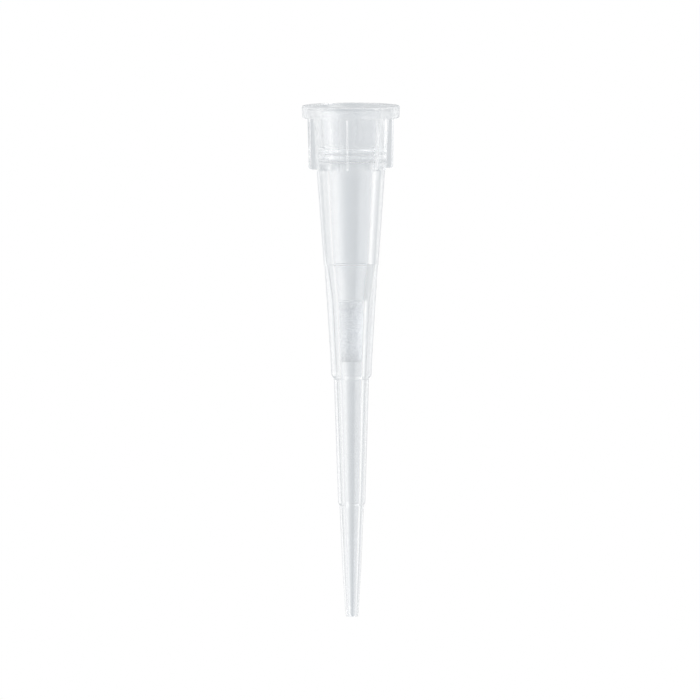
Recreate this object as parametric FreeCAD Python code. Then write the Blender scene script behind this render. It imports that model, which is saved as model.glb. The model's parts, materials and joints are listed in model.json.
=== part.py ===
import FreeCAD, Part
import math
import os

# A 10 microlitre filter pipette tip. The body is one clear polypropylene moulding, turned about the Z
# axis, and a sintered filter plug is pressed into its chamber. Millimetres. The origin is on the axis, in the
# plane of the upper sealing ring of the shaft socket. +Z points out of the socket's mouth, and -Y through the
# middle of a rib.

# --- Shaft socket: a lead-in, a tapered guide, two sealing rings and a stop shoulder ---
seal_radius = 1.76           # the crest of each sealing ring, which a pipette's nose cone is pressed into
seal_crest_height = 0.10
seal_spacing = 0.48          # from the upper sealing ring's middle to the lower one's
seal_groove_depth = 0.10
seal_guide_gap = 0.04        # how far the guide's foot stands outside the sealing rings
guide_flare = 0.24           # how far the guide's top stands outside the sealing rings
mouth_lead_width = 0.12      # the chamfer round the mouth
mouth_lead_height = 0.25
foot_groove_height = 0.40    # the relief under the lower sealing ring
foot_groove_depth = 0.06
stop_shoulder_inset = 0.10   # how far the shoulder's top edge stands inside the sealing rings
stop_shoulder_height = 0.55

# --- Collar: the flanged rim, the ribs and the wall between them ---
rim_above_seal = 2.76        # from the upper sealing ring up to the rim's top face
rim_height = 0.80
rim_overhang = 0.32          # how far the rim stands out past the ribs
rim_draft = 0.04             # how much narrower the rim's side is at its foot
rim_edge_radius = 0.09
collar_wall = 0.54           # between the guide's top and the outside of the collar
collar_draft = 0.21
rib_count = 6
rib_length = 3.37            # from the underside of the rim to the ribs' feet
rib_width = 0.56
rib_top_depth = 0.40         # how far a rib stands out of the collar's wall
rib_bottom_depth = 0.55
rib_corner_radius = 0.12
rib_root_depth = 0.15        # how far a rib is sunk into the wall and the rim that carry it

# --- Outside of the body below the collar ---
collar_step = 0.05
upper_cone_length = 6.44
upper_cone_bottom_radius = 1.81
chamber_step = 0.035
chamber_taper_length = 6.09
chamber_bottom_radius = 1.385
chamber_foot_length = 1.25   # the nearly straight foot of the filter chamber
chamber_foot_draft = 0.05
chamber_shoulder_width = 0.17
chamber_shoulder_height = 0.16
stem_length = 8.34
stem_bottom_radius = 0.90
stem_shoulder_width = 0.085
stem_shoulder_height = 0.10
nozzle_taper_length = 4.35
nozzle_middle_radius = 0.617
nozzle_end_length = 3.10
nozzle_end_radius = 0.42
nozzle_edge_radius = 0.07

# --- Bore below the socket ---
bore_top_radius = 1.45
bore_ledge_radius = 1.15     # the bore just above the ledge at the chamber's mouth
ledge_width = 0.07
ledge_height = 0.05
ledge_above_chamber = 0.14   # from the step outside the chamber's top up to the ledge
funnel_length = 2.39         # narrows the bore from the ledge to the filter's seat
seat_top_radius = 0.845
seat_bottom_radius = 0.656
seat_below_chamber = 0.39    # how far the seat's taper runs on into the stem
nozzle_bore_radius = 0.4625  # where the stem's bore passes into the nozzle
orifice_radius = 0.22

# --- Filter plug ---
filter_length = 4.02
filter_below_taper = 0.28    # how far the plug's lower face stands below the chamber's taper
filter_clearance = 0.01      # only the plug's surface grains touch the bore

# --- Radii that follow from the sizes above ---
guide_foot_radius = seal_radius + seal_guide_gap
guide_top_radius = seal_radius + guide_flare
mouth_radius = guide_top_radius + mouth_lead_width
stop_shoulder_radius = seal_radius - stop_shoulder_inset
collar_top_radius = guide_top_radius + collar_wall
collar_bottom_radius = collar_top_radius - collar_draft
rib_top_radius = collar_top_radius + rib_top_depth
rib_bottom_radius = collar_bottom_radius + rib_bottom_depth
rim_top_radius = rib_top_radius + rim_overhang
rim_bottom_radius = rim_top_radius - rim_draft
upper_cone_top_radius = collar_bottom_radius - collar_step
chamber_top_radius = upper_cone_bottom_radius - chamber_step
chamber_foot_radius = chamber_bottom_radius - chamber_foot_draft
stem_top_radius = chamber_foot_radius - chamber_shoulder_width
nozzle_top_radius = stem_bottom_radius - stem_shoulder_width

# --- Heights that follow from the lengths above ---
rim_top = rim_above_seal
rim_underside = rim_top - rim_height
rib_foot = rim_underside - rib_length
chamber_top = rib_foot - upper_cone_length
chamber_foot_top = chamber_top - chamber_taper_length
chamber_foot_bottom = chamber_foot_top - chamber_foot_length
stem_top = chamber_foot_bottom - chamber_shoulder_height
stem_bottom = stem_top - stem_length
nozzle_top = stem_bottom - stem_shoulder_height
nozzle_middle = nozzle_top - nozzle_taper_length
orifice = nozzle_middle - nozzle_end_length

upper_crest_bottom = -seal_crest_height / 2
lower_crest_top = upper_crest_bottom - (seal_spacing - seal_crest_height)
lower_crest_bottom = lower_crest_top - seal_crest_height
foot_groove_bottom = lower_crest_bottom - foot_groove_height
bore_top = foot_groove_bottom - stop_shoulder_height
ledge_top = chamber_top + ledge_above_chamber
ledge_bottom = ledge_top - ledge_height
seat_top = ledge_bottom - funnel_length
seat_bottom = stem_top - seat_below_chamber

AXIS_POINT = FreeCAD.Vector(0, 0, 0)
UP = FreeCAD.Vector(0, 0, 1)
PAST_END = 1.0               # how far a cutting shape runs on beyond the face that it opens


def point(radius, height):
    """A point of a half section, which lies in the plane y = 0."""
    return FreeCAD.Vector(radius, 0, height)


def straight(start, end):
    return Part.LineSegment(point(*start), point(*end)).toShape()


def curved(start, middle, end):
    return Part.Arc(point(*start), point(*middle), point(*end)).toShape()


def turned(stations):
    """The solid swept by a half section about Z. Stations are (radius, height) from the top down.

    A station with four numbers is reached on an arc: the first two are its end and the last two lie on it.
    """
    top, bottom = (0, stations[0][1]), (0, stations[-1][1])
    edges = [straight(top, stations[0])]
    for start, end in zip(stations, stations[1:]):
        if len(end) == 4:
            edges.append(curved(start[:2], end[2:], end[:2]))
        else:
            edges.append(straight(start[:2], end))
    edges.append(straight(stations[-1][:2], bottom))
    edges.append(straight(bottom, top))
    return Part.Face(Part.Wire(edges)).revolve(AXIS_POINT, UP, 360)


def corner_inset(edge):
    """How far the middle of a quarter round of this radius lies inside its corner, along each side."""
    return edge * (1 - math.sqrt(0.5))


def rounded_top(radius, height, edge):
    """Two stations that round the upper outer corner at (radius, height)."""
    inset = corner_inset(edge)
    return [(radius - edge, height), (radius, height - edge, radius - inset, height - inset)]


def rounded_foot(radius, height, edge):
    """Two stations that round the lower outer corner at (radius, height)."""
    inset = corner_inset(edge)
    return [(radius, height + edge), (radius - edge, height, radius - inset, height + inset)]


def outer_form():
    """The outside of the body, without its ribs."""
    return turned([
        *rounded_top(rim_top_radius, rim_top, rim_edge_radius),
        *rounded_foot(rim_bottom_radius, rim_underside, rim_edge_radius),
        (collar_top_radius, rim_underside),
        (collar_bottom_radius, rib_foot),
        (upper_cone_top_radius, rib_foot),
        (upper_cone_bottom_radius, chamber_top),
        (chamber_top_radius, chamber_top),
        (chamber_bottom_radius, chamber_foot_top),
        (chamber_foot_radius, chamber_foot_bottom),
        (stem_top_radius, stem_top),
        (stem_bottom_radius, stem_bottom),
        (nozzle_top_radius, nozzle_top),
        (nozzle_middle_radius, nozzle_middle),
        *rounded_foot(nozzle_end_radius, orifice, nozzle_edge_radius),
    ])


def rib():
    """One rib, along -Y, sunk into the collar's wall and the rim."""
    root = collar_bottom_radius - rib_root_depth
    top = rim_underside + rib_root_depth
    inset = corner_inset(rib_corner_radius)
    foot_side = (rib_bottom_radius, rib_foot + rib_corner_radius)
    foot_face = (rib_bottom_radius - rib_corner_radius, rib_foot)
    foot_middle = (rib_bottom_radius - inset, rib_foot + inset)
    section = Part.Wire([
        straight((root, top), (rib_top_radius, top)),
        straight((rib_top_radius, top), foot_side),
        curved(foot_side, foot_middle, foot_face),
        straight(foot_face, (root, rib_foot)),
        straight((root, rib_foot), (root, top)),
    ])
    blade = Part.Face(section).extrude(FreeCAD.Vector(0, rib_width, 0))
    blade.translate(FreeCAD.Vector(0, -rib_width / 2, 0))
    blade.rotate(AXIS_POINT, UP, -90)
    return blade


def ribs():
    blades = []
    for k in range(rib_count):
        blade = rib()
        blade.rotate(AXIS_POINT, UP, 360 * k / rib_count)
        blades.append(blade)
    return blades


def bore():
    """Everything that is open inside the body, from the mouth of the socket to the orifice."""
    guide_foot = -upper_crest_bottom + seal_guide_gap
    seal_groove_radius = seal_radius + seal_groove_depth
    seal_groove_middle = (upper_crest_bottom + lower_crest_top) / 2
    foot_groove_radius = seal_radius + foot_groove_depth
    foot_groove_middle = (lower_crest_bottom + foot_groove_bottom) / 2
    return turned([
        (mouth_radius, rim_top + PAST_END),
        (mouth_radius, rim_top),
        (guide_top_radius, rim_top - mouth_lead_height),
        (guide_foot_radius, guide_foot),
        (seal_radius, -upper_crest_bottom),
        (seal_radius, upper_crest_bottom),
        (seal_radius, lower_crest_top, seal_groove_radius, seal_groove_middle),
        (seal_radius, lower_crest_bottom),
        (stop_shoulder_radius, foot_groove_bottom, foot_groove_radius, foot_groove_middle),
        (bore_top_radius, bore_top),
        (bore_ledge_radius, ledge_top),
        (bore_ledge_radius - ledge_width, ledge_bottom),
        (seat_top_radius, seat_top),
        (seat_bottom_radius, seat_bottom),
        (nozzle_bore_radius, stem_bottom),
        (orifice_radius, orifice),
        (orifice_radius, orifice - PAST_END),
    ])


def tip_body():
    moulding = outer_form().multiFuse(ribs()).cut(bore())
    return moulding.removeSplitter()


def seat_radius_at(height):
    """The radius of the bore at a height in the filter's seat or in the funnel above it."""
    if height > seat_top:
        share = (height - seat_top) / funnel_length
        return seat_top_radius + share * (bore_ledge_radius - ledge_width - seat_top_radius)
    share = (height - seat_bottom) / (seat_top - seat_bottom)
    return seat_bottom_radius + share * (seat_top_radius - seat_bottom_radius)


def aerosol_filter():
    """The plug fills the seat's taper, short of the bore by the clearance."""
    lower_face = chamber_foot_top - filter_below_taper
    upper_face = lower_face + filter_length
    heights = [upper_face, lower_face]
    if upper_face > seat_top:
        heights.insert(1, seat_top)
    return turned([(seat_radius_at(h) - filter_clearance, h) for h in heights])


os.makedirs("parts", exist_ok=True)
tip_body().exportStep("parts/tip_body.step")
aerosol_filter().exportStep("parts/aerosol_filter.step")
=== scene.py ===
"""A clear filter pipette tip: a ribbed polypropylene moulding with a sintered plug in its chamber."""

import json
import math

import bpy
from mathutils import Matrix, Vector, noise


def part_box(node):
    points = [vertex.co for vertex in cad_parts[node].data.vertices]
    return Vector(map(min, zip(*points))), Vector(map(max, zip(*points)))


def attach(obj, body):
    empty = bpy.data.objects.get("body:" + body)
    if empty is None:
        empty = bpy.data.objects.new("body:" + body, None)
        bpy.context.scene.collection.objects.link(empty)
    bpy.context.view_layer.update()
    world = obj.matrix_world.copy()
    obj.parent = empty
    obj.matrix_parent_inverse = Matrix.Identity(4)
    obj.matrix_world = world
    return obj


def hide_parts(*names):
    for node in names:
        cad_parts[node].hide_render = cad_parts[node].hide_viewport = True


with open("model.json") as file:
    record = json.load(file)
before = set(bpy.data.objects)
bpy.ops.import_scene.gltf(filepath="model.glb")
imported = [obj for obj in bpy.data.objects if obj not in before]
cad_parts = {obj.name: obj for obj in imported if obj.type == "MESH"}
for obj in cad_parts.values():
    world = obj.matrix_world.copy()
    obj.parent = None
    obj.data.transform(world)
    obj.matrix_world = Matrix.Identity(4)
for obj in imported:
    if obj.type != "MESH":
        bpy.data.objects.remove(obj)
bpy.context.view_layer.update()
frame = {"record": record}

MM = 0.001

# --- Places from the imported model, in mm ---
body_low, body_high = (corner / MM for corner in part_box("tip_body"))
plug_low, plug_high = (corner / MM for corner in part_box("aerosol_filter"))
mounts = {mount["name"]: mount for mount in frame["record"]["mounts"]}

SEAL_RADIUS = mounts["shaft_socket"]["dims"]["r_mm"]
RIB_FOOT = mounts["rack_seat"]["pos_m"][2] / MM
RIM_TOP = body_high.z
ORIFICE = body_low.z
RIM_RADIUS = body_high.x

# --- Socket and collar, in mm ---
GUIDE_FLARE = 0.24           # how far the guide's top stands outside the sealing rings
GUIDE_GAP = 0.04             # and its foot
MOUTH_LEAD_WIDTH = 0.12
MOUTH_LEAD_HEIGHT = 0.25
CREST_HEIGHT = 0.10
SEAL_SPACING = 0.48
SEAL_GROOVE_BELLY = 0.10     # how far a groove bellies out past the straight line between its ends
FOOT_GROOVE_BELLY = 0.102
FOOT_GROOVE_HEIGHT = 0.40
STOP_INSET = 0.10            # how far the stop shoulder's top edge stands inside the sealing rings
STOP_HEIGHT = 0.55
RIM_HEIGHT = 0.80
RIM_DRAFT = 0.04
COLLAR_WALL = 0.54           # between the guide's top and the outside of the collar
COLLAR_DRAFT = 0.21
RIB_COUNT = 6
RIB_WIDTH = 0.56
RIB_TOP_DEPTH = 0.40         # how far a rib stands out of the collar's wall
RIB_FOOT_DEPTH = 0.55

# --- Outside below the collar ---
CONE_STEP = 0.05
CONE_LENGTH = 6.44
CONE_FOOT_RADIUS = 1.81
CHAMBER_STEP = 0.035
CHAMBER_TAPER_LENGTH = 6.09
CHAMBER_TAPER_RADIUS = 1.385
CHAMBER_FOOT_LENGTH = 1.25
CHAMBER_FOOT_DRAFT = 0.05
SHOULDER_WIDTH = 0.17
SHOULDER_HEIGHT = 0.16
STEM_LENGTH = 8.34
STEM_FOOT_RADIUS = 0.90
STEM_SHOULDER_WIDTH = 0.085
STEM_SHOULDER_HEIGHT = 0.10
NOZZLE_TAPER_LENGTH = 4.35
NOZZLE_MIDDLE_RADIUS = 0.617
NOZZLE_END_RADIUS = 0.42

# --- Bore below the socket ---
BORE_TOP_RADIUS = 1.45
LEDGE_RADIUS = 1.15
LEDGE_WIDTH = 0.07
LEDGE_HEIGHT = 0.05
LEDGE_ABOVE_CHAMBER = 0.14
FUNNEL_LENGTH = 2.39
SEAT_TOP_RADIUS = 0.845
SEAT_FOOT_RADIUS = 0.656
SEAT_BELOW_CHAMBER = 0.39
NOZZLE_BORE_RADIUS = 0.4625
ORIFICE_RADIUS = 0.22

# --- Rounds on the moulding's edges: the outside from the top down, then the bore ---
RIM_ROUND = 0.09
RIB_HEAD_ROUND = 0.03        # where a rib runs into the rim
RIB_EDGE_ROUND = 0.03
RIB_ROOT_ROUND = 0.025       # where a rib runs into the wall
RIB_CORNER_ROUND = 0.12
COLLAR_FOOT_ROUND = 0.02
CONE_STEP_ROUND = 0.006
CHAMBER_STEP_ROUND = 0.02
CHAMBER_STEP_HOLLOW = 0.01
TAPER_BEND = 2.0             # where one taper runs smoothly into the next
SHOULDER_ROUND = 0.2
STEM_SHOULDER_ROUND = 0.12
NOZZLE_ROUND = 0.07
MOUTH_ROUND = 0.04
GUIDE_ROUND = 0.08
CREST_ROUND = 0.03
GROOVE_FOOT_ROUND = 0.04
STOP_ROUND = 0.1
LEDGE_ROUND = 0.015
SEAT_TOP_BEND = 1.0
STEM_BORE_BEND = 0.3
ORIFICE_ROUND = 0.03

# --- Radii that follow ---
GUIDE_TOP_RADIUS = SEAL_RADIUS + GUIDE_FLARE
GUIDE_FOOT_RADIUS = SEAL_RADIUS + GUIDE_GAP
MOUTH_RADIUS = GUIDE_TOP_RADIUS + MOUTH_LEAD_WIDTH
STOP_RADIUS = SEAL_RADIUS - STOP_INSET
WALL_TOP_RADIUS = GUIDE_TOP_RADIUS + COLLAR_WALL
WALL_FOOT_RADIUS = WALL_TOP_RADIUS - COLLAR_DRAFT
RIB_TOP_RADIUS = WALL_TOP_RADIUS + RIB_TOP_DEPTH
RIB_FOOT_RADIUS = WALL_FOOT_RADIUS + RIB_FOOT_DEPTH
CHAMBER_FOOT_RADIUS = CHAMBER_TAPER_RADIUS - CHAMBER_FOOT_DRAFT
STEM_TOP_RADIUS = CHAMBER_FOOT_RADIUS - SHOULDER_WIDTH
NOZZLE_TOP_RADIUS = STEM_FOOT_RADIUS - STEM_SHOULDER_WIDTH

# --- Heights that follow. The middle of the upper sealing ring is at 0. ---
RIM_UNDERSIDE = RIM_TOP - RIM_HEIGHT
CHAMBER_TOP = RIB_FOOT - CONE_LENGTH
CHAMBER_FOOT_TOP = CHAMBER_TOP - CHAMBER_TAPER_LENGTH
CHAMBER_FOOT_END = CHAMBER_FOOT_TOP - CHAMBER_FOOT_LENGTH
STEM_TOP = CHAMBER_FOOT_END - SHOULDER_HEIGHT
STEM_FOOT = STEM_TOP - STEM_LENGTH
NOZZLE_TOP = STEM_FOOT - STEM_SHOULDER_HEIGHT
NOZZLE_MIDDLE = NOZZLE_TOP - NOZZLE_TAPER_LENGTH

UPPER_CREST_TOP = CREST_HEIGHT / 2
UPPER_CREST_FOOT = -CREST_HEIGHT / 2
LOWER_CREST_TOP = UPPER_CREST_TOP - SEAL_SPACING
LOWER_CREST_FOOT = UPPER_CREST_FOOT - SEAL_SPACING
FOOT_GROOVE_END = LOWER_CREST_FOOT - FOOT_GROOVE_HEIGHT
BORE_TOP = FOOT_GROOVE_END - STOP_HEIGHT
LEDGE_TOP = CHAMBER_TOP + LEDGE_ABOVE_CHAMBER
LEDGE_FOOT = LEDGE_TOP - LEDGE_HEIGHT
SEAT_TOP = LEDGE_FOOT - FUNNEL_LENGTH
SEAT_FOOT = STEM_TOP - SEAT_BELOW_CHAMBER

# --- Camera and floor, in metres and degrees ---
CAMERA_AZIMUTH = 11.0
CAMERA_ELEVATION = 4.74
CAMERA_DISTANCE = 0.8
CAMERA_LENS = 620.0
CAMERA_ROLL = -0.14
AIM_HEIGHT = -13.49 * MM
AIM_SIDE = -0.09 * MM
FLOOR_DROP = 0.15
FLOOR_RADIUS = 0.2
FLOOR_CORNERS = 96

WHITE = (1, 1, 1, 1)


# --- Helpers for nodes and meshes ---

def set_inputs(tree, node, inputs):
    """Sets a node's inputs, by name or number, to values or to what other nodes give out."""
    for socket, value in inputs.items():
        if isinstance(value, bpy.types.NodeSocket):
            tree.links.new(value, node.inputs[socket])
        else:
            node.inputs[socket].default_value = value


def add_node(tree, kind, inputs=None, **settings):
    """A new node of this kind, with its settings and its inputs."""
    node = tree.nodes.new(kind)
    for name, value in settings.items():
        setattr(node, name, value)
    set_inputs(tree, node, inputs or {})
    return node


def add_ramp(tree, factor, stops):
    """The colour that a ramp of (position, colour) stops gives to a factor."""
    node = add_node(tree, "ShaderNodeValToRGB", {0: factor})
    ramp = node.color_ramp
    while len(ramp.elements) > 1:
        ramp.elements.remove(ramp.elements[-1])
    ramp.elements[0].position = stops[0][0]
    for position, _ in stops[1:]:
        ramp.elements.new(position)
    for element, (_, colour) in zip(ramp.elements, stops):
        element.color = (*colour, 1)
    return node.outputs[0]


def mix_colours(tree, factor, first, second, blend_type="MIX"):
    """Two colours mixed. On a Mix node the colours are inputs 6 and 7, and the result is output 2."""
    inputs = {0: factor, 6: first, 7: second}
    return add_node(tree, "ShaderNodeMix", inputs, data_type="RGBA", blend_type=blend_type).outputs[2]


def add_piece(name, points, faces, material):
    """An object in the scene, made from points in metres."""
    mesh = bpy.data.meshes.new(name)
    mesh.from_pydata(points, [], faces)
    mesh.validate()
    mesh.materials.append(material)
    piece = bpy.data.objects.new(name, mesh)
    bpy.context.scene.collection.objects.link(piece)
    return piece


def neighbours(count):
    """Each point of a ring with the next one round, by number."""
    return [(k, (k + 1) % count) for k in range(count)]


def band(here, there, count):
    """The faces between two rings of points, given the number of each ring's first point."""
    return [(here + j, there + j, there + k, here + k) for j, k in neighbours(count)]


# --- Camera ---

def make_camera():
    """The photo's view, through a long lens."""
    azimuth, elevation = math.radians(CAMERA_AZIMUTH), math.radians(CAMERA_ELEVATION)
    back = Vector((
        math.sin(azimuth) * math.cos(elevation),
        -math.cos(azimuth) * math.cos(elevation),
        math.sin(elevation),
    ))
    right = Vector((math.cos(azimuth), math.sin(azimuth), 0))
    data = bpy.data.cameras.new("camera")
    data.lens = CAMERA_LENS
    data.sensor_width = 36
    data.clip_start = 0.01
    data.clip_end = 10
    camera = bpy.data.objects.new("camera", data)
    aim = Vector((0, 0, AIM_HEIGHT)) + right * AIM_SIDE
    camera.location = aim + back * CAMERA_DISTANCE
    level = (-back).to_track_quat("-Z", "Y").to_matrix()
    roll = Matrix.Rotation(math.radians(CAMERA_ROLL), 3, "Z")
    camera.rotation_euler = (level @ roll).to_euler()
    bpy.context.scene.collection.objects.link(camera)
    bpy.context.scene.camera = camera


# --- Room ---

# How bright the walls are all round, by degrees to the right of straight behind the tip, as the camera sees
# it. The left and the back are the same from the skirt up to the ceiling.
LEFT_AND_BACK = [
    (-180, 0.50),    # the dim side, where the camera stands
    (-152, 0.62),
    (-147, 1.00),    # a long lit panel on the left
    (-126, 1.60),
    (-112, 1.82),
    (-104, 1.82),
    (-90, 0.91),     # the pale wall behind, with one brighter stretch
    (-68, 0.86),
    (-57, 1.05),
    (-48, 0.88),
    (-13, 0.92),
    (-2, 0.71),      # a grey card straight behind
    (4, 0.65),
    (10, 0.73),
]
# Level with the tip there is a small lit panel on the right.
RIGHT_LEVEL = [(20, 0.84), (30, 0.83), (48, 1.10), (60, 1.10), (76, 0.70), (88, 0.58), (180, 0.50)]
# Lower down there is none.
RIGHT_LOW = [(28, 0.78), (70, 0.72), (88, 0.58), (180, 0.50)]
# Higher up there is a lamp further round, which lights the filter.
RIGHT_HIGH = [(28, 0.78), (70, 0.70), (80, 3.50), (135, 3.50), (150, 0.72), (180, 0.50)]
# The walls from the lowest up, each with the elevations in degrees between which it takes over from what is
# below it.
LEVELS = [(RIGHT_LOW, -19, -13), (RIGHT_LEVEL, -9.5, -7.5), (RIGHT_HIGH, 9, 13)]
# Under them is a skirt, with a soft grey card behind the tip and a paler one on each side of the camera.
SKIRT = [
    (-180, 0.88),
    (-150, 0.76),
    (-105, 0.92),
    (-60, 0.92),
    (-25, 0.62),
    (20, 0.60),
    (60, 0.92),
    (105, 0.92),
    (146, 0.76),
    (180, 0.88),
]
CEILING = (0.86, 0.90, 0.94)
CEILING_EDGE = 40, 60            # the elevations between which it begins, in degrees
FLOOR_LIGHT = (0.90, 0.94, 0.97)
FLOOR_EDGE = -42, -36            # and between which the floor's light ends

WARM_TINT = 0.022, -0.022        # what the warmest light gains in red, and in blue
COOL_TINT = -0.08, 0.07          # and the coolest
FULL_TINT = 0.9                  # how far a brightness is from 1 when its light has the whole tint


def light(brightness):
    """The colour of a part of the room: a little warm where it is bright, and a little cool where dim."""
    red, blue = WARM_TINT if brightness > 1 else COOL_TINT
    share = min(1.0, abs(brightness - 1.0) / FULL_TINT)
    return (brightness * (1 + red * share), brightness, brightness * (1 + blue * share))


def all_round(tree, share, stops):
    """The room's colour at one level. The share of the way round is 0 at -180 degrees and 1 at 180."""
    colours = [((degrees + 180) / 360, light(brightness)) for degrees, brightness in stops]
    return add_ramp(tree, share, colours)


def plain(tree, colour):
    """One colour in every direction."""
    node = add_node(tree, "ShaderNodeRGB")
    node.outputs[0].default_value = (*colour, 1)
    return node.outputs[0]


def one_above(tree, lower, upper, height, low, high):
    """One level of the room above another, with a soft change between two elevations in degrees."""
    low, high = math.sin(math.radians(low)), math.sin(math.radians(high))
    rise = {"Value": height, "From Min": low, "From Max": high}
    blend = add_node(tree, "ShaderNodeMapRange", rise, interpolation_type="SMOOTHSTEP")
    return mix_colours(tree, blend.outputs[0], lower, upper)


def room_light(tree):
    """The room's colour by direction. The room's back is behind the tip as the camera sees it."""
    direction = add_node(tree, "ShaderNodeTexCoord").outputs["Generated"]
    turn = {"Vector": direction, "Angle": -math.radians(CAMERA_AZIMUTH)}
    turned = add_node(tree, "ShaderNodeVectorRotate", turn, rotation_type="Z_AXIS")
    parts = add_node(tree, "ShaderNodeSeparateXYZ", {0: turned.outputs[0]}).outputs
    angle = add_node(tree, "ShaderNodeMath", {0: parts["X"], 1: parts["Y"]}, operation="ARCTAN2")
    once_round = {"Value": angle.outputs[0], "From Min": -math.pi, "From Max": math.pi}
    share = add_node(tree, "ShaderNodeMapRange", once_round).outputs[0]
    height = parts["Z"]
    room = all_round(tree, share, SKIRT)
    for right, low, high in LEVELS:
        room = one_above(tree, room, all_round(tree, share, LEFT_AND_BACK + right), height, low, high)
    room = one_above(tree, room, plain(tree, CEILING), height, *CEILING_EDGE)
    return one_above(tree, plain(tree, FLOOR_LIGHT), room, height, *FLOOR_EDGE)


def make_room():
    """To the eye the room is plain white. What lights the tip has brighter and darker sides."""
    world = bpy.data.worlds.new("room")
    bpy.context.scene.world = world
    world.use_nodes = True
    tree = world.node_tree
    tree.nodes.clear()
    lit = add_node(tree, "ShaderNodeBackground", {"Color": room_light(tree)})
    seen = add_node(tree, "ShaderNodeBackground", {"Color": WHITE})
    path = add_node(tree, "ShaderNodeLightPath")
    choice = {0: path.outputs["Is Camera Ray"], 1: lit.outputs[0], 2: seen.outputs[0]}
    mix = add_node(tree, "ShaderNodeMixShader", choice)
    add_node(tree, "ShaderNodeOutputWorld", {"Surface": mix.outputs[0]})


def follow_light():
    """Keeps white plain, and follows light through all the clear walls that it meets, without blurring it."""
    scene = bpy.context.scene
    scene.view_settings.view_transform = "Standard"
    scene.cycles.max_bounces = 32
    scene.cycles.min_light_bounces = 32
    scene.cycles.transmission_bounces = 32
    scene.cycles.glossy_bounces = 16
    scene.cycles.volume_bounces = 16
    scene.cycles.blur_glossy = 0


def make_floor():
    """A white disc far under the tip, which lights it from below."""
    material = bpy.data.materials.new("white_floor")
    material.use_nodes = True
    tree = material.node_tree
    tree.nodes.clear()
    glow = add_node(tree, "ShaderNodeEmission", {"Color": WHITE, "Strength": 1.0})
    add_node(tree, "ShaderNodeOutputMaterial", {"Surface": glow.outputs[0]})
    height = ORIFICE * MM - FLOOR_DROP
    angles = [2 * math.pi * k / FLOOR_CORNERS for k in range(FLOOR_CORNERS)]
    points = [(FLOOR_RADIUS * math.cos(a), FLOOR_RADIUS * math.sin(a), height) for a in angles]
    floor = add_piece("floor", points, [list(range(FLOOR_CORNERS))], material)


# --- Body: one closed loop of rings, down the outside and up the bore ---

ARC_STEP = math.radians(15)      # the turn from one point of a round to the next
SMALLEST_TURN = math.radians(1)  # a flatter corner isn't rounded
MOST_OF_SIDE = 0.45              # how much of a side the round at one of its ends may take up
LONGEST_FACE = 0.75              # the longest run from one round ring to the next, in mm
GROOVE_STEPS = 10
PLAN_ROUND_STEPS = 5             # in each round of a rib's plan
HEAD_ROUND_STEPS = 5             # where the ribs run into the rim
FOOT_ROUND_STEPS = 6             # at the ribs' feet
WALL_STEPS = 12                  # from a rib's root to the middle of the wall beside it
RIB_STEPS = 6                    # down the straight part of the ribs
TOP_FACE_INSET = 0.3             # from the mouth's edge to the first ring
RIB_HEAD_SPACE = 0.05            # from the rounds at the ribs' heads to the rim's last ring


def rounded(stations):
    """A half section with its corners rounded. Stations are (radius, height) or (radius, height, round)."""
    points = [Vector(station[:2]) for station in stations]
    section = [points[0]]
    for i in range(1, len(points) - 1):
        size = stations[i][2] if len(stations[i]) > 2 else 0
        section += rounded_corner(points[i], points[i - 1] - points[i], points[i + 1] - points[i], size)
    section.append(points[-1])
    return section


def rounded_corner(corner, before, after, size):
    """The points that round a corner between two sides. A round that is too big for them is made smaller."""
    turn = math.pi - before.angle(after)
    if not size or turn < SMALLEST_TURN:
        return [corner]
    reach = min(size * math.tan(turn / 2), MOST_OF_SIDE * before.length, MOST_OF_SIDE * after.length)
    size = reach / math.tan(turn / 2)
    bisector = (before.normalized() + after.normalized()).normalized()
    centre = corner + bisector * (size / math.cos(turn / 2))
    start = corner + before.normalized() * reach - centre
    end = corner + after.normalized() * reach - centre
    steps = max(2, math.ceil(turn / ARC_STEP))
    return [centre + start.slerp(end, k / steps) * size for k in range(steps + 1)]


def arc(turn, steps):
    """The angles from 0 up to a turn, in even steps."""
    return [turn * k / steps for k in range(steps + 1)]


def groove(top, bottom, belly):
    """The points between two stations of the bore, along a curve that bellies out past the line between."""
    points = []
    for k in range(1, GROOVE_STEPS):
        share = k / GROOVE_STEPS
        radius = top[0] + share * (bottom[0] - top[0])
        height = top[1] + share * (bottom[1] - top[1])
        points.append((radius + belly * 4 * share * (1 - share), height))
    return points


def half_sector(rib_radius, wall_radius, grow=0.0):
    """One side of a rib in plan, out to the middle of the wall beside it, as (across, outwards) points.

    grow moves the rib's flanks and the wall outwards, for the round under the rim and at the collar's foot.
    """
    half = RIB_WIDTH / 2 + grow
    rib = rib_radius + max(grow, 0.0)
    wall = wall_radius + grow
    edge, root = RIB_EDGE_ROUND, RIB_ROOT_ROUND
    face = [(share * (half - edge), rib) for share in (0, 1 / 3, 2 / 3)]
    corner = [
        (half - edge + edge * math.sin(a), rib - edge + edge * math.cos(a))
        for a in arc(math.pi / 2, PLAN_ROUND_STEPS)
    ]
    root_across = half + root
    root_out = math.sqrt((wall + root) ** 2 - root_across ** 2)
    flank = [(half, rib - edge + share * (root_out - rib + edge)) for share in (1 / 3, 2 / 3)]
    lean = math.atan2(root_across, root_out)
    fillet = [
        (root_across - root * math.cos(a), root_out - root * math.sin(a))
        for a in arc(math.pi / 2 - lean, PLAN_ROUND_STEPS)
    ]
    to_middle = arc(math.pi / RIB_COUNT - lean, WALL_STEPS)[1:]
    plain_wall = [(wall * math.sin(lean + a), wall * math.cos(lean + a)) for a in to_middle]
    return face + corner + flank + fillet + plain_wall


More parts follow.
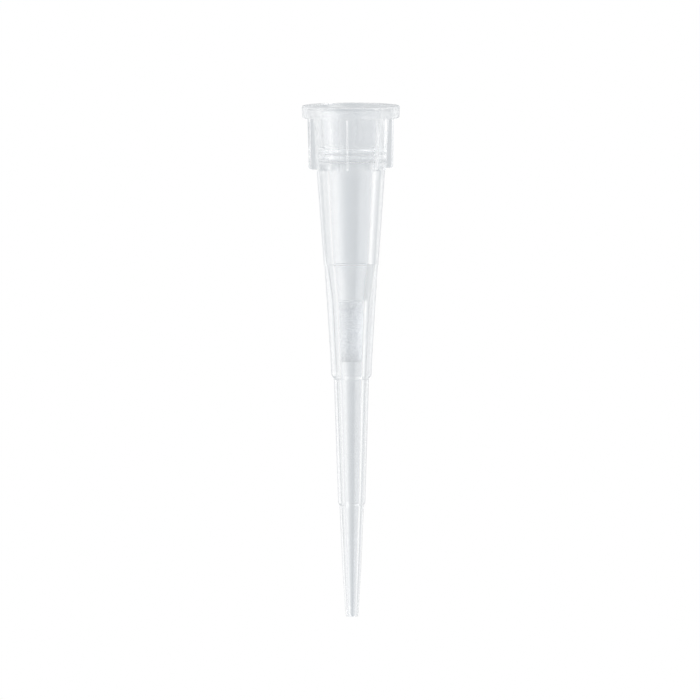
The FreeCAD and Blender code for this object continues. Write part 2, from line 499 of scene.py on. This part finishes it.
def ribbed_ring(half, height):
    """A closed ring of points from one half sector, mirrored and turned about Z. One rib is along -Y."""
    sector = [(-across, out) for across, out in reversed(half)] + half[1:-1]
    ring = []
    for k in range(RIB_COUNT):
        middle = -math.pi / 2 + 2 * math.pi * k / RIB_COUNT
        outward = Vector((math.cos(middle), math.sin(middle)))
        sideways = Vector((-outward.y, outward.x))
        for across, out in sector:
            spot = outward * out + sideways * across
            ring.append((spot.x * MM, spot.y * MM, height * MM))
    return ring


RING_POINTS = RIB_COUNT * (2 * len(half_sector(RIB_TOP_RADIUS, WALL_TOP_RADIUS)) - 2)


def round_ring(radius, height):
    """A round ring of as many points as a ribbed one, evenly spaced from the same start, between two ribs."""
    start = -math.pi / 2 - math.pi / RIB_COUNT
    angles = [start + 2 * math.pi * k / RING_POINTS for k in range(RING_POINTS)]
    return [(radius * math.cos(a) * MM, radius * math.sin(a) * MM, height * MM) for a in angles]


def round_rings(section):
    """Round rings down a section, with more of them along its long runs."""
    spots = [section[0]]
    for start, end in zip(section, section[1:]):
        parts = math.ceil((end - start).length / LONGEST_FACE)
        spots += [start.lerp(end, k / parts) for k in range(1, parts + 1)]
    return [round_ring(*spot) for spot in spots]


def rim_rings():
    """The flanged rim, from its top face round to its underside."""
    return round_rings(rounded([
        (MOUTH_RADIUS + TOP_FACE_INSET, RIM_TOP),
        (RIM_RADIUS, RIM_TOP, RIM_ROUND),
        (RIM_RADIUS - RIM_DRAFT, RIM_UNDERSIDE, RIM_ROUND),
        (RIB_TOP_RADIUS + RIB_HEAD_ROUND + RIB_HEAD_SPACE, RIM_UNDERSIDE),
    ]))


def collar_rings():
    """The ribbed part of the collar, from the round under the rim to the flat feet of the ribs."""
    levels = [RIM_UNDERSIDE - RIB_HEAD_ROUND * (1 - math.cos(a)) for a in arc(math.pi / 2, HEAD_ROUND_STEPS)]
    top, foot = levels[-1], RIB_FOOT + RIB_CORNER_ROUND
    levels += [top + (foot - top) * k / RIB_STEPS for k in range(1, RIB_STEPS)]
    levels += [RIB_FOOT + RIB_CORNER_ROUND * (1 - math.sin(a)) for a in arc(math.pi / 2, FOOT_ROUND_STEPS)]
    return [ribbed_ring(collar_plan(level), level) for level in levels]


def collar_plan(level):
    """The half sector of the collar at a level between the rim's underside and the ribs' feet."""
    down = (RIM_UNDERSIDE - level) / (RIM_UNDERSIDE - RIB_FOOT)
    rib = RIB_TOP_RADIUS + down * (RIB_FOOT_RADIUS - RIB_TOP_RADIUS)
    wall = WALL_TOP_RADIUS + down * (WALL_FOOT_RADIUS - WALL_TOP_RADIUS)
    rib -= inset_at(level - RIB_FOOT, RIB_CORNER_ROUND)
    grow = inset_at(RIM_UNDERSIDE - level, RIB_HEAD_ROUND) - inset_at(level - RIB_FOOT, COLLAR_FOOT_ROUND)
    return half_sector(rib, wall, grow)


def inset_at(distance, size):
    """How far a quarter round of this size stands off a side, at this distance from its corner's plane."""
    if distance >= size:
        return 0.0
    return size - math.sqrt(size ** 2 - (size - max(distance, 0.0)) ** 2)


def lower_rings():
    """Everything outside below the collar, and round the nozzle's end to just inside the orifice."""
    section = rounded([
        (WALL_FOOT_RADIUS, RIB_FOOT),
        (WALL_FOOT_RADIUS - CONE_STEP, RIB_FOOT, CONE_STEP_ROUND),
        (CONE_FOOT_RADIUS, CHAMBER_TOP, CHAMBER_STEP_ROUND),
        (CONE_FOOT_RADIUS - CHAMBER_STEP, CHAMBER_TOP, CHAMBER_STEP_HOLLOW),
        (CHAMBER_TAPER_RADIUS, CHAMBER_FOOT_TOP, TAPER_BEND),
        (CHAMBER_FOOT_RADIUS, CHAMBER_FOOT_END, SHOULDER_ROUND),
        (STEM_TOP_RADIUS, STEM_TOP, SHOULDER_ROUND),
        (STEM_FOOT_RADIUS, STEM_FOOT, STEM_SHOULDER_ROUND),
        (NOZZLE_TOP_RADIUS, NOZZLE_TOP, STEM_SHOULDER_ROUND),
        (NOZZLE_MIDDLE_RADIUS, NOZZLE_MIDDLE, TAPER_BEND),
        (NOZZLE_END_RADIUS, ORIFICE, NOZZLE_ROUND),
        (ORIFICE_RADIUS, ORIFICE, ORIFICE_ROUND),
        (NOZZLE_BORE_RADIUS, STEM_FOOT),
    ])
    return round_rings(section[1:-1])


def bore_rings():
    """The bore, from above the orifice up to the mouth. The stations are listed from the mouth down."""
    seal_groove = (SEAL_RADIUS, UPPER_CREST_FOOT), (SEAL_RADIUS, LOWER_CREST_TOP)
    foot_groove = (SEAL_RADIUS, LOWER_CREST_FOOT), (STOP_RADIUS, FOOT_GROOVE_END)
    section = rounded([
        (RIM_RADIUS, RIM_TOP),
        (MOUTH_RADIUS, RIM_TOP, MOUTH_ROUND),
        (GUIDE_TOP_RADIUS, RIM_TOP - MOUTH_LEAD_HEIGHT, GUIDE_ROUND),
        (GUIDE_FOOT_RADIUS, UPPER_CREST_TOP + GUIDE_GAP, CREST_ROUND),
        (SEAL_RADIUS, UPPER_CREST_TOP, CREST_ROUND),
        (*seal_groove[0], CREST_ROUND),
        *groove(*seal_groove, SEAL_GROOVE_BELLY),
        (*seal_groove[1], CREST_ROUND),
        (*foot_groove[0], CREST_ROUND),
        *groove(*foot_groove, FOOT_GROOVE_BELLY),
        (*foot_groove[1], GROOVE_FOOT_ROUND),
        (BORE_TOP_RADIUS, BORE_TOP, STOP_ROUND),
        (LEDGE_RADIUS, LEDGE_TOP, LEDGE_ROUND),
        (LEDGE_RADIUS - LEDGE_WIDTH, LEDGE_FOOT, LEDGE_ROUND),
        (SEAT_TOP_RADIUS, SEAT_TOP, SEAT_TOP_BEND),
        (SEAT_FOOT_RADIUS, SEAT_FOOT, STEM_BORE_BEND),
        (NOZZLE_BORE_RADIUS, STEM_FOOT, STEM_BORE_BEND),
        (ORIFICE_RADIUS, ORIFICE),
    ])
    return round_rings(section[-2:0:-1])


def make_body(material):
    """The moulding as one closed mesh, whose last ring of points joins its first."""
    rings = rim_rings() + collar_rings() + lower_rings() + bore_rings()
    points = [point for ring in rings for point in ring]
    faces = []
    for i in range(len(rings)):
        faces += band(i * RING_POINTS, (i + 1) % len(rings) * RING_POINTS, RING_POINTS)
    body = add_piece("clear_moulding", points, faces, material)
    body.data.shade_smooth()
    even = body.modifiers.new("even_normals", "WEIGHTED_NORMAL")
    even.weight = 100
    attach(body, "root")
    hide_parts("tip_body")


# --- Filter plug ---

PLUG_CLEARANCE = 0.01
PLUG_CORNER = 0.06               # the strip along each edge where the grains are sunk both ways
GRAIN_SIZE = 0.13
GRAIN_RELIEF = 0.02
GRAIN_FALL = 1.25                # how fast a grain falls away from its middle
PLUG_POINTS = 150                # in each ring
SIDE_STEPS = 110                 # from ring to ring down its side
FACE_STEPS = 20                  # and across each of its faces


def seat_radius_at(height):
    """The radius of the bore at a height in the filter's seat."""
    slope = (SEAT_TOP_RADIUS - SEAT_FOOT_RADIUS) / (SEAT_TOP - SEAT_FOOT)
    return SEAT_FOOT_RADIUS + (height - SEAT_FOOT) * slope


PLUG_TOP_RADIUS = plug_high.x
PLUG_FOOT_RADIUS = seat_radius_at(plug_low.z) - PLUG_CLEARANCE
PLUG_MIDDLE = (plug_high.z + plug_low.z) / 2


def plug_section():
    """The plug's (radius, height) points: its top face from the middle out, its side and its lower face."""
    taper, drop = PLUG_FOOT_RADIUS - PLUG_TOP_RADIUS, plug_low.z - plug_high.z
    top_face = [(PLUG_TOP_RADIUS * k / FACE_STEPS, plug_high.z) for k in range(1, FACE_STEPS)]
    side = [
        (PLUG_TOP_RADIUS + taper * k / SIDE_STEPS, plug_high.z + drop * k / SIDE_STEPS)
        for k in range(SIDE_STEPS + 1)
    ]
    lower_face = [(PLUG_FOOT_RADIUS * (1 - k / FACE_STEPS), plug_low.z) for k in range(1, FACE_STEPS)]
    return top_face + side + lower_face


def plug_outward(flat, radius, height):
    """The way out of the plug from a point on it: sideways on its side and lengthwise on its faces."""
    from_middle = height - PLUG_MIDDLE
    if abs(from_middle) < (plug_high.z - plug_low.z) / 2 - PLUG_CORNER:
        return flat
    full_radius = PLUG_TOP_RADIUS if from_middle > 0 else PLUG_FOOT_RADIUS
    sideways = max(0.0, radius - full_radius + PLUG_CORNER) / PLUG_CORNER
    return (flat * sideways + Vector((0, 0, math.copysign(1, from_middle)))).normalized()


def grained(spot, outward):
    """The spot in metres, sunk below the smooth form by how far it lies from the middle of its grain."""
    distances, _ = noise.voronoi(spot / GRAIN_SIZE, distance_metric="DISTANCE")
    gap = min(1.0, distances[0] * GRAIN_FALL)
    return (spot - outward * (GRAIN_RELIEF * gap * gap)) * MM


def plug_ring(radius, height):
    """One ring of the plug's points, at this radius and height but for the grains."""
    ring = []
    for k in range(PLUG_POINTS):
        angle = 2 * math.pi * k / PLUG_POINTS
        flat = Vector((math.cos(angle), math.sin(angle), 0))
        ring.append(grained(flat * radius + Vector((0, 0, height)), plug_outward(flat, radius, height)))
    return ring


def make_plug(material):
    """A plug of fused grains. It has the CAD plug's taper, and its grains stand no further out."""
    rings = [plug_ring(*spot) for spot in plug_section()]
    points = [point for ring in rings for point in ring]
    faces = []
    for i in range(len(rings) - 1):
        faces += band(i * PLUG_POINTS, (i + 1) * PLUG_POINTS, PLUG_POINTS)
    top_middle, foot_middle = len(points), len(points) + 1
    points.append(grained(Vector((0, 0, plug_high.z)), Vector((0, 0, 1))))
    points.append(grained(Vector((0, 0, plug_low.z)), Vector((0, 0, -1))))
    last = (len(rings) - 1) * PLUG_POINTS
    faces += [(top_middle, j, k) for j, k in neighbours(PLUG_POINTS)]
    faces += [(foot_middle, last + k, last + j) for j, k in neighbours(PLUG_POINTS)]
    plug = add_piece("sintered_plug", points, faces, material)
    plug.data.shade_smooth()
    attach(plug, "root")
    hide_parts("aerosol_filter")


# --- Materials ---

PLASTIC_INDEX = 1.49
PLASTIC_TINT = [(0.3, (0.98, 0.99, 1.0)), (0.7, (0.995, 0.998, 1.0))]
CLOUD_SIZE = 0.9                 # of the faint clouds that the melt's flow leaves, in mm
CLOUD_STRETCH = 0.08             # how fast they change along the tip, compared with across it
SMOOTH = 0.02, 0.05              # the roughness of the bare plastic, at the clouds' two extremes
COLLAR_SATIN = 0.15              # what the collar has on top of that
SATIN_FADE = 0.2                 # above and below the ribs' feet, in mm
HAZE_DENSITY = 110.0             # per metre, so that light goes about 9 mm before it is scattered
SOAK_DENSITY = 15.0
SOAK_COLOUR = (0.10, 0.16, 0.20, 1)

BEAD_SIZE = 0.05
BEAD_TONES = [(0.0, (0.66, 0.675, 0.69)), (0.5, (0.79, 0.80, 0.815)), (1.0, (0.92, 0.925, 0.935))]
BEAD_DIP = 0.02
# Painted shade on the plug: how light it is, by the share of the way up it. Both ends are painted darker, as
# shade.
PLUG_PAINTED_SHADE = [
    (0.0, 0.74),
    (0.02, 0.80),
    (0.1, 0.93),
    (0.22, 1.0),
    (0.7, 1.0),
    (0.85, 0.95),
    (0.98, 0.90),
    (1.0, 0.76),
]


def new_material(name):
    """A new material, its node tree, its shader and its output."""
    material = bpy.data.materials.new(name)
    material.use_nodes = True
    tree = material.node_tree
    out = next(node for node in tree.nodes if node.type == "OUTPUT_MATERIAL")
    return material, tree, tree.nodes["Principled BSDF"], out


def flow_clouds(tree, place):
    """Faint clouds, drawn out along the tip."""
    flow = add_node(tree, "ShaderNodeMapping", {"Vector": place, "Scale": (1.0, 1.0, CLOUD_STRETCH)})
    clouds = {"Vector": flow.outputs[0], "Scale": 1 / (CLOUD_SIZE * MM), "Detail": 3.0}
    return add_node(tree, "ShaderNodeTexNoise", clouds).outputs[0]


def plastic_roughness(tree, place, clouds):
    """Smooth below the collar, and satin on it."""
    dull = {"Value": clouds, "To Min": SMOOTH[0], "To Max": SMOOTH[1]}
    satin = {
        "Value": add_node(tree, "ShaderNodeSeparateXYZ", {0: place}).outputs["Z"],
        "From Min": (RIB_FOOT - SATIN_FADE) * MM,
        "From Max": (RIB_FOOT + SATIN_FADE) * MM,
        "To Max": COLLAR_SATIN,
    }
    bare = add_node(tree, "ShaderNodeMapRange", dull).outputs[0]
    added = add_node(tree, "ShaderNodeMapRange", satin).outputs[0]
    return add_node(tree, "ShaderNodeMath", {0: bare, 1: added}, operation="ADD").outputs[0]


def milky_inside(tree):
    """A faint haze that scatters light, and a fainter grey-blue tint that soaks it up."""
    haze = {"Color": WHITE, "Density": HAZE_DENSITY, "Anisotropy": 0.3}
    tint = {"Color": SOAK_COLOUR, "Density": SOAK_DENSITY}
    scatter = add_node(tree, "ShaderNodeVolumeScatter", haze)
    soak = add_node(tree, "ShaderNodeVolumeAbsorption", tint)
    return add_node(tree, "ShaderNodeAddShader", {0: scatter.outputs[0], 1: soak.outputs[0]}).outputs[0]


def clear_plastic():
    """Clear polypropylene: a little milky where it is thick, satin on the collar and smooth below it."""
    material, tree, shader, out = new_material("clear_polypropylene")
    place = add_node(tree, "ShaderNodeTexCoord").outputs["Object"]
    clouds = flow_clouds(tree, place)
    set_inputs(tree, shader, {
        "Base Color": add_ramp(tree, clouds, PLASTIC_TINT),
        "Roughness": plastic_roughness(tree, place, clouds),
        "Transmission Weight": 1.0,
        "IOR": PLASTIC_INDEX,
    })
    set_inputs(tree, out, {"Volume": milky_inside(tree)})
    return material


def painted_shade_by_height(tree, place):
    """Painted shade along the plug: its lightness by height, darker at both ends."""
    height = add_node(tree, "ShaderNodeSeparateXYZ", {0: place}).outputs["Z"]
    rise = {"Value": height, "From Min": plug_low.z * MM, "From Max": plug_high.z * MM}
    share = add_node(tree, "ShaderNodeMapRange", rise).outputs[0]
    return add_ramp(tree, share, [(stop, (grey, grey, grey)) for stop, grey in PLUG_PAINTED_SHADE])


def sintered_plastic():
    """Fused polyethylene beads: a white that differs from bead to bead, with painted shade darkening both
    ends.
    """
    material, tree, shader, _ = new_material("sintered_polyethylene")
    place = add_node(tree, "ShaderNodeTexCoord").outputs["Object"]
    beads = add_node(tree, "ShaderNodeTexVoronoi", {"Vector": place, "Scale": 1 / (BEAD_SIZE * MM)})
    chance = add_node(tree, "ShaderNodeSeparateColor", {0: beads.outputs["Color"]}).outputs[0]
    # The bead tones, darkened towards both ends by painted shade.
    bead_tone_with_painted_shade = mix_colours(tree, 1.0, add_ramp(tree, chance, BEAD_TONES), painted_shade_by_height(tree, place), "MULTIPLY")
    relief = {"Height": beads.outputs["Distance"], "Strength": 0.4, "Distance": BEAD_DIP * MM}
    dips = add_node(tree, "ShaderNodeBump", relief, invert=True)
    set_inputs(tree, shader, {
        "Base Color": bead_tone_with_painted_shade,
        "Normal": dips.outputs[0],
        "Roughness": 0.6,
        "Subsurface Weight": 0.45,
        "Subsurface Radius": (1.0, 1.0, 1.0),
        "Subsurface Scale": 1.0 * MM,
    })
    return material


make_camera()
follow_light()
make_room()
make_floor()
make_body(clear_plastic())
make_plug(sintered_plastic())
